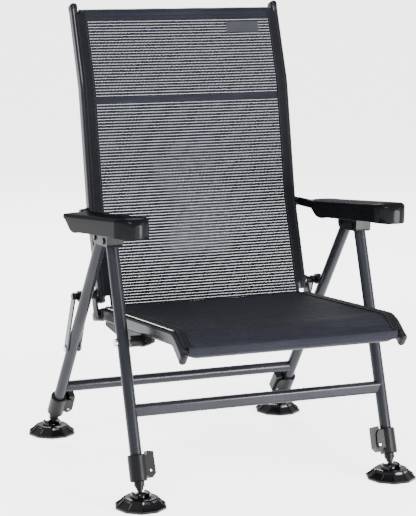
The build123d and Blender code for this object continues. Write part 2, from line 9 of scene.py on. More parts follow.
import bpy
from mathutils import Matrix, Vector


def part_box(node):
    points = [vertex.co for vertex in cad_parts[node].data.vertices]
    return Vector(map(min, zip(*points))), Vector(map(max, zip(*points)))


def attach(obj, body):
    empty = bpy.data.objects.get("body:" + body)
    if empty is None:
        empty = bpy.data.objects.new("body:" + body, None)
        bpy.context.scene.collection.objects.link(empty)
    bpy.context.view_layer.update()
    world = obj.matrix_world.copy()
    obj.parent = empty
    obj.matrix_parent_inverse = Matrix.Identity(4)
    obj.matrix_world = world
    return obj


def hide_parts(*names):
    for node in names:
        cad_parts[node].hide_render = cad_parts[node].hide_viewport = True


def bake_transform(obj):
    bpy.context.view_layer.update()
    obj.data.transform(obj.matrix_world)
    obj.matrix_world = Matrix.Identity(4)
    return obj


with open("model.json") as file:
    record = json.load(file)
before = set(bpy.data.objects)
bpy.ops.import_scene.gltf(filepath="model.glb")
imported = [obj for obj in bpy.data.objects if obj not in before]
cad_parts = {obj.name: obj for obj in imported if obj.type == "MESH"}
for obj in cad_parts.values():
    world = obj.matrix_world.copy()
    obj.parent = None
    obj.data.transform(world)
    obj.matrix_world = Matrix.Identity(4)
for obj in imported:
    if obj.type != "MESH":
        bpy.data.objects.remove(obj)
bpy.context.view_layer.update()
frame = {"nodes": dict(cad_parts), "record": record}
nodes = frame["nodes"]
joints = {joint["name"]: joint for joint in frame["record"]["behaviour"]["joints"]}
scene = bpy.context.scene

SIDES = (("left", -1), ("right", 1))

# ---- camera: the photograph's viewpoint ---------------------------------------
EYE = (-1.6182, -3.7871, 1.2337)
CAMERA_TILT, CAMERA_ROLL, CAMERA_TURN = 79.2691, -0.5854, -22.5406
FOCAL_LENGTH, SENSOR_WIDTH = 134.4, 36
VIEW_DISTANCE = 60
camera_data = bpy.data.cameras.new("camera")
camera_data.sensor_fit = "AUTO"
camera_data.sensor_width = SENSOR_WIDTH
camera_data.lens = FOCAL_LENGTH
camera_data.clip_end = VIEW_DISTANCE
camera = bpy.data.objects.new("camera", camera_data)
camera.location = EYE
camera.rotation_euler = (math.radians(CAMERA_TILT), math.radians(CAMERA_ROLL), math.radians(CAMERA_TURN))
scene.collection.objects.link(camera)
scene.camera = camera


# ---- light and backdrop --------------------------------------------------------
def area_light(name, place, target, size, power):
    """A square soft light aimed at a point."""
    data = bpy.data.lights.new(name, "AREA")
    data.shape = "SQUARE"
    data.size = size
    data.energy = power
    lamp = bpy.data.objects.new(name, data)
    lamp.location = place
    lamp.rotation_euler = (Vector(target) - Vector(place)).to_track_quat("-Z", "Y").to_euler()
    scene.collection.objects.link(lamp)


area_light("key", place=(-2.4, -2.2, 3.2), target=(0, 0, 0.4), size=1.2, power=150)
area_light("fill", place=(2.8, -2.4, 1.6), target=(0, 0, 0.4), size=1.6, power=60)
area_light("rim", place=(0.8, 3.0, 2.6), target=(0, 0, 0.5), size=1.4, power=130)
area_light("streak", place=(1.0, -2.0, 0.38), target=(0.1, -0.2, 0.5), size=0.7, power=95)

WORLD_STRENGTH = 0.9
world = bpy.data.worlds.new("studio")
scene.world = world
world.use_nodes = True
backdrop = world.node_tree.nodes["Background"].inputs
backdrop["Color"].default_value = (1, 1, 1, 1)
backdrop["Strength"].default_value = WORLD_STRENGTH


# ---- materials -------------------------------------------------------------------
class Shader:
    """A material made of a Principled shader and the nodes that feed it."""

    def __init__(self, name):
        self.material = bpy.data.materials.new(name)
        self.material.use_nodes = True
        self.tree = self.material.node_tree
        self.main = self.tree.nodes["Principled BSDF"]
        self.place = self.tree.nodes.new("ShaderNodeTexCoord").outputs["Object"]

    def set(self, **values):
        """Constants on the shader's own sockets, named with underscores for spaces."""
        for name, value in values.items():
            self.main.inputs[name.replace("_", " ")].default_value = value

    def node(self, kind, **inputs):
        """A new node with constants or links on its inputs."""
        made = self.tree.nodes.new(kind)
        for name, value in inputs.items():
            socket = made.inputs[name.replace("_", " ")]
            if isinstance(value, bpy.types.NodeSocket):
                self.tree.links.new(value, socket)
            else:
                socket.default_value = value
        return made

    def stretched(self, x, y, z):
        """The object's own coordinates, stretched along each axis."""
        return self.node("ShaderNodeMapping", Vector=self.place, Scale=(x, y, z)).outputs["Vector"]

    def noise(self, scale, detail=3.0, vector=None):
        """A noise value from 0 to 1."""
        source = self.place if vector is None else vector
        return self.node("ShaderNodeTexNoise", Vector=source, Scale=scale, Detail=detail).outputs["Fac"]

    def waves(self, direction, scale, distortion):
        """The threads of a cloth, as waves from 0 to 1 that follow each other in a direction."""
        made = self.node(
            "ShaderNodeTexWave", Vector=self.place, Scale=scale, Distortion=distortion, Detail=2.0
        )
        made.bands_direction = direction
        return made.outputs["Fac"]

    def between(self, value, low, high):
        """The value from 0 to 1 carried over to another range."""
        made = self.node("ShaderNodeMapRange", Value=value)
        made.inputs["To Min"].default_value = low
        made.inputs["To Max"].default_value = high
        return made.outputs["Result"]

    def colours(self, value, *stops):
        """The value from 0 to 1 turned into a colour by stops of (place, colour)."""
        ramp = self.node("ShaderNodeValToRGB", Fac=value)
        ramp.color_ramp.elements.remove(ramp.color_ramp.elements[1])
        ramp.color_ramp.elements[0].position = stops[0][0]
        ramp.color_ramp.elements[0].color = (*stops[0][1], 1)
        for place, colour in stops[1:]:
            ramp.color_ramp.elements.new(place).color = (*colour, 1)
        return ramp.outputs["Color"]

    def link(self, value, name):
        """Feeds a value into one of the shader's sockets."""
        self.tree.links.new(value, self.main.inputs[name])

    def bump(self, *layers):
        """Stacks bump layers of (height value, strength, depth in metres)."""
        normal = None
        for height, strength, depth in layers:
            made = self.node("ShaderNodeBump", Height=height, Strength=strength, Distance=depth)
            if normal is not None:
                self.tree.links.new(normal, made.inputs["Normal"])
            normal = made.outputs["Normal"]
        self.link(normal, "Normal")


def moulded(name, dark, light, rough, grain_scale, grain_depth, shine):
    """Moulded plastic with a fine grain, faint cloudy colour and rubbed, shinier patches."""
    made = Shader(name)
    made.set(Specular_IOR_Level=shine)
    made.link(made.colours(made.noise(14, 4), (0.3, dark), (0.75, light)), "Base Color")
    made.link(made.between(made.noise(22, 5), rough - 0.08, rough + 0.1), "Roughness")
    made.bump((made.noise(grain_scale, 2), 0.35, grain_depth), (made.noise(60, 2), 0.15, grain_depth * 2))
    return made


def brushed(name, dark, light, rough, along):
    """Bare metal with fine drawn lines and slight stains."""
    made = Shader(name)
    made.set(Metallic=1.0)
    lines = made.noise(900, 2, made.stretched(*along))
    made.link(made.colours(made.noise(30, 5), (0.25, dark), (0.8, light)), "Base Color")
    made.link(made.between(lines, rough - 0.07, rough + 0.12), "Roughness")
    made.bump((lines, 0.25, 0.00004), (made.noise(220, 3), 0.1, 0.00005))
    return made


paint = Shader("frame_paint")
paint.set(Metallic=0.18, Coat_Weight=0.3, Coat_Roughness=0.2, Specular_IOR_Level=0.0)
paint.link(
    paint.colours(paint.noise(9, 4), (0.3, (0.012, 0.013, 0.0165)), (0.75, (0.019, 0.020, 0.0245))),
    "Base Color",
)
paint.link(paint.between(paint.noise(35, 5), 0.18, 0.28), "Roughness")
paint.bump((paint.noise(2600, 2), 0.22, 0.00003), (paint.noise(420, 2), 0.1, 0.00006))

cloth = Shader("woven_fabric")
cloth.set(Roughness=0.72, Sheen_Weight=0.02, Sheen_Roughness=0.4, Specular_IOR_Level=0.16)
weft = cloth.waves("Z", 420.0, 0.6)
warp = cloth.waves("X", 300.0, 0.8)
depth_weft = cloth.waves("Y", 420.0, 0.6)
# Lighter streaks along the rows: partly uneven yarn tone, partly painted sheen of threads that catch the
# light at grazing angles.
yarn_tone_and_sheen_streaks = cloth.noise(55, 5, cloth.stretched(0.12, 1, 1))
cloth.link(
    cloth.colours(
        yarn_tone_and_sheen_streaks,
        (0.28, (0.0035, 0.004, 0.0075)),
        (0.55, (0.006, 0.007, 0.0125)),
        (0.78, (0.012, 0.014, 0.022)),
    ),
    "Base Color",
)
cloth.bump(
    (weft, 0.5, 0.00025),
    (depth_weft, 0.4, 0.00025),
    (warp, 0.35, 0.0002),
    (cloth.noise(1500, 2), 0.3, 0.0001),
)

hem_cloth = Shader("hem_tape")
hem_cloth.set(Roughness=0.8, Sheen_Weight=0.02, Specular_IOR_Level=0.12)
hem_cloth.link(
    hem_cloth.colours(
        hem_cloth.noise(40, 4),
        (0.3, (0.0016, 0.0018, 0.0028)),
        (0.75, (0.0032, 0.0036, 0.0055)),
    ),
    "Base Color",
)
hem_cloth.bump((hem_cloth.waves("Z", 520.0, 0.3), 0.45, 0.0003), (hem_cloth.noise(1800, 2), 0.3, 0.0001))

thread = Shader("stitching_thread")
thread.set(Roughness=0.55, Sheen_Weight=0.1, Specular_IOR_Level=0.3)
thread.link(
    thread.colours(thread.noise(300, 2), (0.3, (0.010, 0.011, 0.015)), (0.7, (0.022, 0.024, 0.030))),
    "Base Color",
)
thread.bump((thread.noise(2500, 2), 0.4, 0.0001))

patch_leather = moulded(
    "blank_patch", dark=(0.013, 0.014, 0.018), light=(0.024, 0.026, 0.031),
    rough=0.5, grain_scale=900, grain_depth=0.0002, shine=0.25,
)
armrest_plastic = moulded(
    "armrest_plastic", dark=(0.0026, 0.0029, 0.0038), light=(0.0042, 0.0047, 0.0060),
    rough=0.27, grain_scale=1100, grain_depth=0.00009, shine=0.0,
)
armrest_plastic.set(Coat_Weight=0.12, Coat_Roughness=0.24)
black_plastic = moulded(
    "black_plastic", dark=(0.003, 0.003, 0.0037), light=(0.005, 0.005, 0.0062),
    rough=0.38, grain_scale=1300, grain_depth=0.0001, shine=0.14,
)
foot_plastic = moulded(
    "foot_plastic", dark=(0.0025, 0.0025, 0.003), light=(0.004, 0.004, 0.005),
    rough=0.2, grain_scale=700, grain_depth=0.00006, shine=0.22,
)
steel = brushed("steel", (0.42, 0.42, 0.44), (0.62, 0.62, 0.63), 0.26, (0.05, 1, 1))
link_metal = brushed("link_metal", (0.035, 0.037, 0.043), (0.06, 0.062, 0.07), 0.34, (1, 1, 0.06))

FINISHES = {
    "frame_paint": paint,
    "woven_fabric": cloth,
    "armrest_plastic": armrest_plastic,
    "black_plastic": black_plastic,
    "foot_plastic": foot_plastic,
    "steel": steel,
    "link_metal": link_metal,
}
for part in frame["record"]["subparts"]:
    solid = nodes[part["node"]]
    solid.data.materials.clear()
    solid.data.materials.append(FINISHES[part["material_slot"]].material)


def new_piece(name, points, faces, finish, sharp_angle=35):
    """A mesh object of the chair, smooth apart from edges sharper than the angle."""
    data = bpy.data.meshes.new(name)
    data.from_pydata([tuple(point) for point in points], [], faces)
    data.update()
    data.shade_smooth()
    data.set_sharp_from_angle(angle=math.radians(sharp_angle))
    data.materials.append(finish.material)
    made = bpy.data.objects.new(name, data)
    scene.collection.objects.link(made)
    return made


# ---- lines of the panels, read off the CAD panels --------------------------------------
def side_line(node, key):
    """The middle line of a plain CAD panel in the side view, as (y, z) points in the order of the key."""
    own = nodes[node]
    corners = [own.matrix_world @ vertex.co for vertex in own.data.vertices]
    outlines = {(round(c.y, 5), round(c.z, 5)) for c in corners}
    ordered = sorted(outlines, key=key)
    pairs = zip(ordered[::2], ordered[1::2])
    return [Vector(((a[0] + b[0]) / 2, (a[1] + b[1]) / 2)) for a, b in pairs]


def rounded(points, radius, steps=14):
    """The same line with its inner corners rounded to a radius."""
    line = [points[0]]
    for before, corner, after in zip(points, points[1:], points[2:]):
        towards, away = (before - corner).normalized(), (after - corner).normalized()
        half = math.acos(max(-1, min(1, towards.dot(away)))) / 2
        reach = radius / math.tan(half)
        start, end = corner + towards * reach, corner + away * reach
        for step in range(steps + 1):
            t = step / steps
            line.append(start * (1 - t) ** 2 + corner * 2 * t * (1 - t) + end * t * t)
    line.append(points[-1])
    return line


def wrapped(points, centre, end_radius, turn):
    """The line, ended where it passes the centre of a round bar, then wound round the bar by an angle."""
    along = (points[-1] - points[-2]).normalized()
    foot = points[-2] + along * (centre - points[-2]).dot(along)
    spoke = foot - centre
    start_angle, start_radius = math.atan2(spoke.y, spoke.x), spoke.length
    line = [*points[:-1], foot]
    steps = 16
    for step in range(1, steps + 1):
        t = step / steps
        settled = min(1, t * 1.5)  # down on the bar after two thirds of the turn
        radius = start_radius + (end_radius - start_radius) * settled
        angle = start_angle + turn * t
        line.append(centre + radius * Vector((math.cos(angle), math.sin(angle))))
    return line, foot


class Line:
    """A line in the side view that gives the point and the outward normal at a distance along it."""

    def __init__(self, points):
        self.points = points
        self.marks = [0.0]
        for a, b in zip(points, points[1:]):
            self.marks.append(self.marks[-1] + (b - a).length)
        self.length = self.marks[-1]

    def at(self, distance):
        distance = max(0.0, min(self.length, distance))
        index = max(i for i, mark in enumerate(self.marks[:-1]) if mark <= distance)
        a, b = self.points[index], self.points[index + 1]
        t = (distance - self.marks[index]) / (b - a).length
        direction = (b - a).normalized()
        return a.lerp(b, t), Vector((-direction.y, direction.x))


# ---- woven sheets: every opening of the mesh is a real hole ------------------------------
ROW_PITCH = 0.0065
ROW_BAND = 0.00575  # the closed part of each row
YARN_PITCH = 0.0034
YARN = 0.0019  # the closed part between two openings of a row
RIB_HEIGHT = 0.0009
HALF_WIDTH = 0.244
OPEN_HALF_WIDTH = 0.219
STRIP_EDGE = 0.002  # closed edge of a narrow strip
RIPPLE, RIPPLE_ACROSS, RIPPLE_ALONG = 0.0003, 61, 37  # slight unevenness of the cloth
SAG_FULLNESS = 0.6  # below 1 the sag starts sooner at the ends


def across_spans(half_width, open_half_width):
    """Grid lines across a sheet, and whether each span between them is an opening."""
    count = round(2 * open_half_width / YARN_PITCH)
    pitch = 2 * open_half_width / count
    marks, is_open = [-half_width, -(half_width + open_half_width) / 2], [False, False]
    for index in range(count):
        marks += [-open_half_width + index * pitch, -open_half_width + index * pitch + YARN]
        is_open += [False, True]
    marks += [open_half_width, (half_width + open_half_width) / 2, half_width]
    return marks, [*is_open, False, False]


def row_spans(length, closed):
    """Grid lines down a sheet as (distance, rib height), and whether each span between them is an opening."""
    count = round(length / ROW_PITCH)
    pitch = length / count
    marks, is_open = [], []
    for index in range(count):
        start = index * pitch
        marks += [(start, 0.0), (start + ROW_BAND / 2, RIB_HEIGHT), (start + ROW_BAND, 0.0)]
        is_open += [False, False, not any(low < start + pitch and high > start for low, high in closed)]
    return [*marks, (length, 0.0)], is_open


def woven(name, line, outward, sag=0.0, taut_from=None, closed=(), half_width=HALF_WIDTH, narrow=None):
    """A stretched mesh sheet along a line, with a rib along each row, and its area.

    closed lists stretches with no openings. The sheet sags up to taut_from, and past there is only as wide
    as narrow.
    """
    across, open_across = across_spans(half_width, min(OPEN_HALF_WIDTH, half_width - STRIP_EDGE))
    down, open_down = row_spans(line.length, closed)
    sagging = taut_from or line.length
    points, faces = [], []
    for distance, rib in down:
        place, normal = line.at(distance)
        slack = math.sin(math.pi * distance / sagging) ** SAG_FULLNESS if 0 < distance < sagging else 0
        for x in across:
            share = 1 - (x / half_width) ** 2
            ripple = RIPPLE * math.sin(x * RIPPLE_ACROSS + distance * RIPPLE_ALONG) * share
            shift = outward * (ripple + rib - sag * slack * share)
            points.append((x, place.x + normal.x * shift, place.y + normal.y * shift))
    area = 0.0
    row = len(across)
    for i, (start, end) in enumerate(zip(down, down[1:])):
        for j in range(row - 1):
            outside = max(abs(across[j]), abs(across[j + 1]))
            if open_down[i] and open_across[j] or narrow and end[0] > sagging and outside > narrow:
                continue
            area += (end[0] - start[0]) * (across[j + 1] - across[j])
            corner = i * row + j
            faces.append((corner, corner + 1, corner + row + 1, corner + row))
    return new_piece(name, points, faces, cloth, 75), area


FRONT_BAR_R = 0.010
CLOTH_OFF_BAR = 0.0012
SEAT_BEND_R = 0.06
BACK_BEND_R = 0.12
BAR_HALF_WIDTH = 0.2335  # the cloth between the tubes, where it goes round a bar
SEAT_WRAP, BACK_WRAP = math.radians(72), -math.radians(200)
SEAT_SAG, BACK_SAG = 0.007, 0.005
# stretches with no openings, measured back from the bends and from where the cloth meets the top bar
FRONT_CLOSED = 0.012
HEAD_BAND_START, HEAD_BAND_END = 0.037, 0.031
TOP_CLOSED = 0.004

seat_points = side_line("seat_fabric", lambda p: -p[0])
back_points = side_line("back_fabric", lambda p: p[1])
low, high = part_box("seat_front_bar")
front_bar = Vector((low.y + FRONT_BAR_R, low.z + FRONT_BAR_R))
low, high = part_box("back_top_bar")
top_bar = Vector(((low.y + high.y) / 2, (low.z + high.z) / 2))
top_bar_r = (high.z - low.z) / 2

seat_path, seat_foot = wrapped(
    rounded(seat_points, SEAT_BEND_R), front_bar, FRONT_BAR_R + CLOTH_OFF_BAR, SEAT_WRAP
)
back_path, back_foot = wrapped(
    rounded(back_points, BACK_BEND_R), top_bar, top_bar_r + CLOTH_OFF_BAR, BACK_WRAP
)
seat_line, back_line = Line(seat_path), Line(back_path)


def distance_to(line, place):
    """Distance along a line of its point nearest to a place."""
    return min(((p - place).length, mark) for p, mark in zip(line.points, line.marks))[1]


seat_taut = distance_to(seat_line, seat_foot)
back_taut = distance_to(back_line, back_foot)
front_bend = distance_to(seat_line, seat_points[1])
head_bend = distance_to(back_line, back_points[2])
seat_closed = ((front_bend - FRONT_CLOSED, seat_line.length),)
back_closed = (
    (head_bend - HEAD_BAND_START, head_bend - HEAD_BAND_END),
    (back_taut - TOP_CLOSED, back_line.length),
)
# body, line, which way is outward, sag, where the cloth meets its bar, closed stretches, what it rests on
SHEETS = (
    ("seat", seat_line, -1, SEAT_SAG, seat_taut, seat_closed,
     ["seat_rail_left", "seat_rail_right", "seat_front_bar"]),
    ("back", back_line, 1, BACK_SAG, back_taut, back_closed,
     ["back_tube_left", "back_tube_right", "back_top_bar"]),
)
for body, line, outward, sag, taut, closed, rests in SHEETS:
    stands_for, length = f"{body}_fabric", line.length
    cloth_piece, area = woven(f"{body}_cloth", line, outward, sag, taut, closed, narrow=BAR_HALF_WIDTH)
    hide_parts(stands_for)
    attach(cloth_piece, body)

# the two strips that close the gap between the seat and the back
STRIP_HALF_WIDTH = 0.228
STRIP_STEPS = 10
CURVE_STEPS = 40
GAP_BULGE = Vector((0.0048, -0.0004))  # from the seat's rear edge to the corner that pulls the curve
gap_start, gap_end = seat_points[0], back_points[0]
gap_corner = gap_start + GAP_BULGE
gap_curve = []
for step in range(CURVE_STEPS + 1):
    t = step / CURVE_STEPS
    gap_curve.append(gap_start * (1 - t) ** 2 + gap_corner * 2 * t * (1 - t) + gap_end * t * t)
gap_line = Line(gap_curve)
strips = (("lower_strip", 0.0, ("seat", "back_hinge")), ("upper_strip", 0.5, ("back_hinge", "back")))
for name, first, bodies in strips:
    shares = [first + 0.5 * step / STRIP_STEPS for step in range(STRIP_STEPS + 1)]
    strip_line = Line([gap_line.at(gap_line.length * share)[0] for share in shares])
    strip, strip_area = woven(name, strip_line, 1, half_width=STRIP_HALF_WIDTH)
    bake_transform(strip)


# ---- sewn-on trim: edge tapes, stitching and a blank patch --------------------------------
TAPE_INNER, TAPE_OUTER = 0.2205, 0.2435
TAPE_LIFT, TAPE_THICKNESS = 0.0007, 0.0008
TAPE_STEP, TAPE_COLUMNS = 0.008, 4
TAPE_UNEVENNESS, TAPE_WAVE = 0.0002, 1.3
TAPE_START, STITCH_START = 0.002, 0.004  # past the end of the cloth at the hinge
STITCH_ROWS = (("inner", 0.2225), ("outer", 0.2405))
STITCH_LIFT, STITCH_HEIGHT = 0.0016, 0.0005
STITCH_SPACING, STITCH_LENGTH, STITCH_HALF_WIDTH = 0.0046, 0.0032, 0.00045
PATCH_INNER, PATCH_OUTER = 0.112, 0.192
PATCH_HALF_HEIGHT, PATCH_BELOW_TOP = 0.0125, 0.036
PATCH_LIFT, PATCH_THICKNESS = 0.0008, 0.0011


def tape(name, line, span, across, side, lift, thickness, outward, body, finish):
    """A flat tape on a sheet. span is two places along its line, across is two distances from the middle."""
    (start, end), (inner, outer) = span, across
    steps = max(2, round((end - start) / TAPE_STEP))
    points, faces = [], []
    for layer in (lift, lift + thickness):
        for i in range(steps + 1):
            place, normal = line.at(start + (end - start) * i / steps)
            for j in range(TAPE_COLUMNS + 1):
                x = side * (inner + (outer - inner) * j / TAPE_COLUMNS)
                shift = outward * (layer + TAPE_UNEVENNESS * math.sin(i * TAPE_WAVE + j))
                points.append((x, place.x + normal.x * shift, place.y + normal.y * shift))
    row, top = TAPE_COLUMNS + 1, (steps + 1) * (TAPE_COLUMNS + 1)
    for i in range(steps):
        for j in range(TAPE_COLUMNS):
            c = i * row + j
            faces.append((c, c + row, c + row + 1, c + 1))
            faces.append((top + c, top + c + 1, top + c + row + 1, top + c + row))
    rim = [*range(row), *(row * k + TAPE_COLUMNS for k in range(1, steps + 1))]
    rim += [steps * row + k for k in range(TAPE_COLUMNS - 1, -1, -1)]
    rim += [row * k for k in range(steps - 1, 0, -1)]
    for a, b in zip(rim, [*rim[1:], rim[0]]):
        faces.append((a, b, top + b, top + a))
    made = new_piece(name, points, faces, finish)
    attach(made, body)


def stitches(name, line, span, across, outward, body):
    """A row of raised stitches along a sheet."""
    length, half = STITCH_LENGTH, STITCH_HALF_WIDTH
    corners = [(0, -half, 0), (0, half, 0), (length, half, 0), (length, -half, 0)]
    for along, wide in ((0.2, -0.5), (0.2, 0.5), (0.8, 0.5), (0.8, -0.5)):
        corners.append((length * along, half * wide, STITCH_HEIGHT))
    points, faces = [], []
    for index in range(int((span[1] - span[0]) / STITCH_SPACING)):
        base = len(points)
        for along, wide, high in corners:
            place, normal = line.at(span[0] + index * STITCH_SPACING + along)
            shift = outward * (STITCH_LIFT + high)
            points.append((across + wide, place.x + normal.x * shift, place.y + normal.y * shift))
        for face in ((0, 3, 2, 1), (4, 5, 6, 7), (0, 1, 5, 4), (1, 2, 6, 5), (2, 3, 7, 6), (3, 0, 4, 7)):
            faces.append(tuple(base + corner for corner in face))
    made = new_piece(name, points, faces, thread)
    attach(made, body)


PANELS = (("back", back_line, back_taut, 1), ("seat", seat_line, seat_taut, -1))
for side_name, side in SIDES:
    for body, line, taut, outward in PANELS:
        tape(
            f"{body}_edge_tape_{side_name}", line, (TAPE_START, taut), (TAPE_INNER, TAPE_OUTER), side,
            TAPE_LIFT, TAPE_THICKNESS, outward, body, hem_cloth,
        )
    for row, across in STITCH_ROWS:
        for body, line, taut, outward in PANELS:
            name = f"{body}_stitches_{row}_{side_name}"
            stitches(name, line, (STITCH_START, taut), side * across, outward, body)

patch_middle = back_taut - PATCH_BELOW_TOP
tape(
    "blank_patch", back_line, (patch_middle - PATCH_HALF_HEIGHT, patch_middle + PATCH_HALF_HEIGHT),
    (PATCH_INNER, PATCH_OUTER), 1, PATCH_LIFT, PATCH_THICKNESS, 1, "back", patch_leather,
)

# ---- armrests: hollow moulded shells with rounded noses ------------------------------------
TOP_SLOPE = math.tan(math.radians(7.1))
TOP_ABOVE_PIVOT = 0.011  # at the rear end of the shell
SHELL_REAR = 0.056  # the shell ends this far in front of the pivot
CORNER_R, HOLLOW_CORNER_R = 0.0095, 0.0065
CORNER_SHARE = 0.45  # a corner takes at most this share of a section's height and width
CROWN, CROWN_REACH = 0.0016, 0.03
WALL = 0.0032
LIP = 0.0008
SOLID_TAIL = 0.030
# how far each side of an end pulls in, and over what length
NOSE_TOP, NOSE_BOTTOM = (0.015, 0.026), (0.003, 0.006)
NOSE_INNER, NOSE_OUTER = (0.034, 0.048), (0.020, 0.040)
NOSE_CHAMFER = 0.011
TAIL_TOP, TAIL_SIDE = (0.004, 0.004), (0.006, 0.006)
# the lower edge, as (distance behind the pivot, height above it)
UNDERSIDE = (
    (-0.430, 0.012), (-0.410, 0.012), (-0.363, 0.010), (-0.268, -0.001), (-0.160, -0.014),
    (-0.138, -0.019), (-0.111, -0.020), (-0.095, -0.012), (-0.078, -0.001), (-0.056, 0.004),
)
# where the sections are cut, from the front end and from the rear end
NOSE_SECTIONS = (
    0, 0.0004, 0.0012, 0.0022, WALL, 0.0045, 0.006, 0.009, 0.013, 0.018, 0.024, 0.031,
    0.0385, 0.040, 0.0415, 0.047, 0.055,
)
MIDDLE_SECTIONS = tuple(0.066 + 0.014 * step for step in range(20))
TAIL_SECTIONS = (SOLID_TAIL, 0.018, 0.008, 0.004, 0.0015, 0)
ARC_STEPS = 6


def inset(distance, depth, reach):
    """How far a rounded end pulls in: depth at the very end, nothing from reach onwards."""
    left = max(0.0, 1 - distance / reach)
    return depth * (1 - math.sqrt(1 - left**2))


def underside(y):
    """Height of an armrest's lower edge, measured from its pivot."""
    for (y0, z0), (y1, z1) in zip(UNDERSIDE, UNDERSIDE[1:]):
        if y <= y1:
            t = max(0, (y - y0) / (y1 - y0))
            return z0 + (z1 - z0) * t
    return UNDERSIDE[-1][1]


def section(x0, x1, bottom, top, corner, crown):
    """An open line over the armrest in the plane across it: up one side, over the top and down the other."""
    corner = min(corner, (top - bottom) * CORNER_SHARE, (x1 - x0) * CORNER_SHARE)
    half_way = (bottom + top - corner) / 2
    line = [(x0 + LIP, bottom), (x0, bottom + LIP), (x0, half_way)]
    for step in range(ARC_STEPS + 1):
        angle = math.pi / 2 * step / ARC_STEPS
        line.append((x0 + corner * (1 - math.cos(angle)), top - corner * (1 - math.sin(angle))))
    for step in range(1, ARC_STEPS):
        t = step / ARC_STEPS
        line.append((x0 + corner + (x1 - x0 - 2 * corner) * t, top + crown * math.sin(math.pi * t)))
    for step in range(ARC_STEPS + 1):
        angle = math.pi / 2 * (1 - step / ARC_STEPS)
        line.append((x1 - corner * (1 - math.cos(angle)), top - corner * (1 - math.sin(angle))))
    return [*line, (x1, half_way), (x1, bottom + LIP), (x1 - LIP, bottom)]


def shell_faces(count, size, first, last):
    """Faces of a shell of this many rings. Each ring is size outer points, then size points of the hollow.

    The hollow runs from the ring named first to the ring named last.
    """
    faces = []

    def outer(i, k):
        return i * 2 * size + k

    def hollow(i, k):
        return outer(i, k) + size

    for i in range(count - 1):
        for k in range(size - 1):
            faces.append((outer(i, k), outer(i, k + 1), outer(i + 1, k + 1), outer(i + 1, k)))
        if first <= i < last:
            for k in range(size - 1):
                faces.append((hollow(i, k), hollow(i + 1, k), hollow(i + 1, k + 1), hollow(i, k + 1)))
            for k in (0, size - 1):
                faces.append((outer(i, k), hollow(i, k), hollow(i + 1, k), outer(i + 1, k)))
        else:
            face = [outer(i, 0), outer(i + 1, 0), outer(i + 1, size - 1), outer(i, size - 1)]
            if i + 1 == first:
                face[2:2] = [hollow(first, 0), hollow(first, size - 1)]
            if i == last:
                face += [hollow(last, size - 1), hollow(last, 0)]
            faces.append(tuple(face))
    faces.append(tuple(outer(0, k) for k in range(size)))
    faces.append(tuple(outer(count - 1, k) for k in range(size - 1, -1, -1)))
    faces.append(tuple(hollow(first, k) for k in range(size)))
    faces.append(tuple(hollow(last, k) for k in range(size - 1, -1, -1)))
    return faces


def armrest_shell(name, side, pivot, inner, outer, front):
    """The shell as one closed mesh. inner and outer are its sides, front is its front end."""
    rear = pivot.x - SHELL_REAR
    length = rear - front
    hollow_end = length - SOLID_TAIL
    distances = {*NOSE_SECTIONS, *MIDDLE_SECTIONS, *(length - tail for tail in TAIL_SECTIONS)}
    distances = sorted(d for d in distances if d <= length)
    points = []
    for d in distances:
        y = front + d
        tail = length - d
        slope = (rear - y) * TOP_SLOPE
        top = pivot.y + TOP_ABOVE_PIVOT + slope - inset(d, *NOSE_TOP) - inset(tail, *TAIL_TOP)
        bottom = pivot.y + underside(y - pivot.x) + inset(d, *NOSE_BOTTOM)
        chamfer = NOSE_CHAMFER * max(0, 1 - d / NOSE_OUTER[1])
        x0 = inner + inset(d, *NOSE_INNER) + inset(tail, *TAIL_SIDE)
        x1 = outer - inset(d, *NOSE_OUTER) - chamfer - inset(tail, *TAIL_SIDE)
        crown = CROWN * min(1, d / CROWN_REACH)
        ring = section(x0, x1, bottom, top, CORNER_R, crown)
        ring += section(x0 + WALL, x1 - WALL, bottom, top - WALL, HOLLOW_CORNER_R, crown)
        points += [(side * x, y, z) for x, z in ring]
    size = len(ring) // 2
    faces = shell_faces(len(distances), size, distances.index(WALL), distances.index(hollow_end))
    used = sorted({corner for face in faces for corner in face})
    renumbered = {old: new for new, old in enumerate(used)}
    points = [points[old] for old in used]
    faces = [tuple(renumbered[corner] for corner in face) for face in faces]
    shell = new_piece(name, points, faces, armrest_plastic, 40)
    if side < 0:
        shell.data.flip_normals()
    return shell


PLATE_EDGE = 0.0006


def plate(name, outline, x_low, x_high, finish):
    """A flat plate with a small edge radius, from an outline of (y, z) points."""
    count = len(outline)
    points = [(x, y, z) for x in (x_low, x_high) for y, z in outline]
    faces = [tuple(range(count - 1, -1, -1)), tuple(range(count, 2 * count))]
    for k in range(count):
        after = (k + 1) % count
        faces.append((k, after, count + after, count + k))
    made = new_piece(name, points, faces, finish)
    edge = made.modifiers.new("edge", "BEVEL")
    edge.width = PLATE_EDGE
    edge.segments = 2
    return made


def disc_points(centre, radius, start, end, steps=14):
    """Points of an arc in the side view, between two angles in degrees."""
    for step in range(steps + 1):
        angle = math.radians(start + (end - start) * step / steps)
        yield centre.x + radius * math.cos(angle), centre.y + radius * math.sin(angle)


